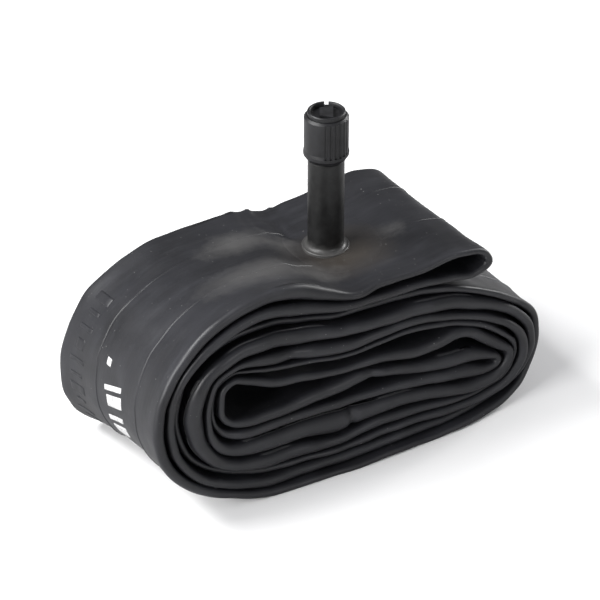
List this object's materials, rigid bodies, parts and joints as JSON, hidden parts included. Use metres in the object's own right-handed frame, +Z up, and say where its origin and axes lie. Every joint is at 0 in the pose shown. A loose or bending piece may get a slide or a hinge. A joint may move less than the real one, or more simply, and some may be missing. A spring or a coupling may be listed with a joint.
{
  "type": "inner tube",
  "caption": "Folded bicycle inner tube of black butyl rubber, rolled flat for storage, with a rubber-covered car-type valve and screw cap.",
  "frame": {"origin": "on the resting face, under the middle of the roll", "axes": "+Z up along the valve, +X along the roll towards the open fold, -Y out of the rolled end"},
  "size_m": [0.0998, 0.046, 0.0807],
  "materials": {
    "butyl_rubber": "satin, slightly dusty black butyl",
    "stem_rubber": "smooth moulded black rubber",
    "patch_rubber": "black rubber with a faint brown bloom",
    "seal_rubber": "matt black seal rubber",
    "gasket_red": "red seal rubber",
    "brass": "turned brass, dull",
    "spring_steel": "drawn spring wire",
    "cap_plastic": "moulded black polyethylene"
  },
  "bodies": {
    "tube": {"rolled_tube": "butyl_rubber", "valve_patch": "patch_rubber", "stem_rubber": "stem_rubber", "stem_insert": "brass", "core_plug": "brass", "core_barrel": "brass", "barrel_gasket": "gasket_red"},
    "pin": {"core_pin": "brass", "core_cup": "brass", "cup_gasket": "seal_rubber", "core_spring": "spring_steel"},
    "seal": {"cap_seal": "seal_rubber"},
    "cap": {"cap_shell": "cap_plastic"}
  },
  "joints": [
    {"name": "pin_press", "type": "slide", "parent": "tube", "child": "pin", "axis": [0, 0, -1], "range_m": [0, 0.0015], "stiffness_N_per_m": 120, "springref_m": -0.002, "deforming": ["core_spring"]},
    {"name": "cap_rise", "type": "slide", "parent": "tube", "child": "seal", "axis": [0, 0, 1], "range_m": [0, 0.00675]},
    {"name": "cap_spin", "type": "hinge", "parent": "seal", "child": "cap", "pos_m": [0.00692, 0, 0.0699], "axis": [0, 0, 1], "range_deg": [0, 3061]}
  ],
  "couplings": [
    {"joint": "cap_spin", "follows": "cap_rise", "rad_per_m": 7913.3}
  ]
}
